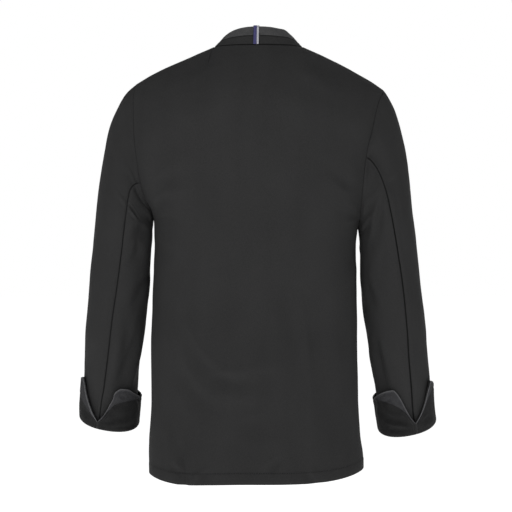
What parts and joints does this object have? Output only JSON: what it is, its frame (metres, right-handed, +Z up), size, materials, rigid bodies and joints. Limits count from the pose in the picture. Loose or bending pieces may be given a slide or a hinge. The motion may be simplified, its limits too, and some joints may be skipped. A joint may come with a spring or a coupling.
{
  "type": "chef jacket",
  "caption": "Double-breasted chef jacket with a stand collar, two-piece sleeves and notched turned-back cuffs, filled out as worn and hollow.",
  "frame": {"origin": "middle of the neck opening, level with the neck end of the shoulder seams, where the wearer's neck and shoulders hold the jacket", "axes": "+Z up, +Y out of the back, +X to the wearer's left"},
  "size_m": [0.626, 0.2434, 0.763],
  "materials": {
    "black_twill": "matt fine twill, off-black",
    "grey_twill": "matt fine twill, dark grey",
    "striped_tape": "woven tape, one blue-violet and one pale stripe",
    "button_plastic": "smooth black moulded plastic, low gloss"
  },
  "bodies": {
    "root": {"back": "black_twill", "front_left": "black_twill", "front_right": "black_twill", "sleeve_upper_left": "black_twill", "sleeve_upper_right": "black_twill", "sleeve_under_left": "black_twill", "sleeve_under_right": "black_twill", "collar_stand": "black_twill", "cuff_left": "black_twill", "cuff_right": "black_twill", "collar_band": "grey_twill", "cuff_facing_left_inner": "grey_twill", "cuff_facing_left_outer": "grey_twill", "cuff_facing_right_inner": "grey_twill", "cuff_facing_right_outer": "grey_twill", "collar_tape": "striped_tape", "button_left_1": "button_plastic", "button_left_2": "button_plastic", "button_left_3": "button_plastic", "button_left_4": "button_plastic", "button_left_5": "button_plastic", "button_right_1": "button_plastic", "button_right_2": "button_plastic", "button_right_3": "button_plastic", "button_right_4": "button_plastic", "button_right_5": "button_plastic"}
  },
  "joints": []
}
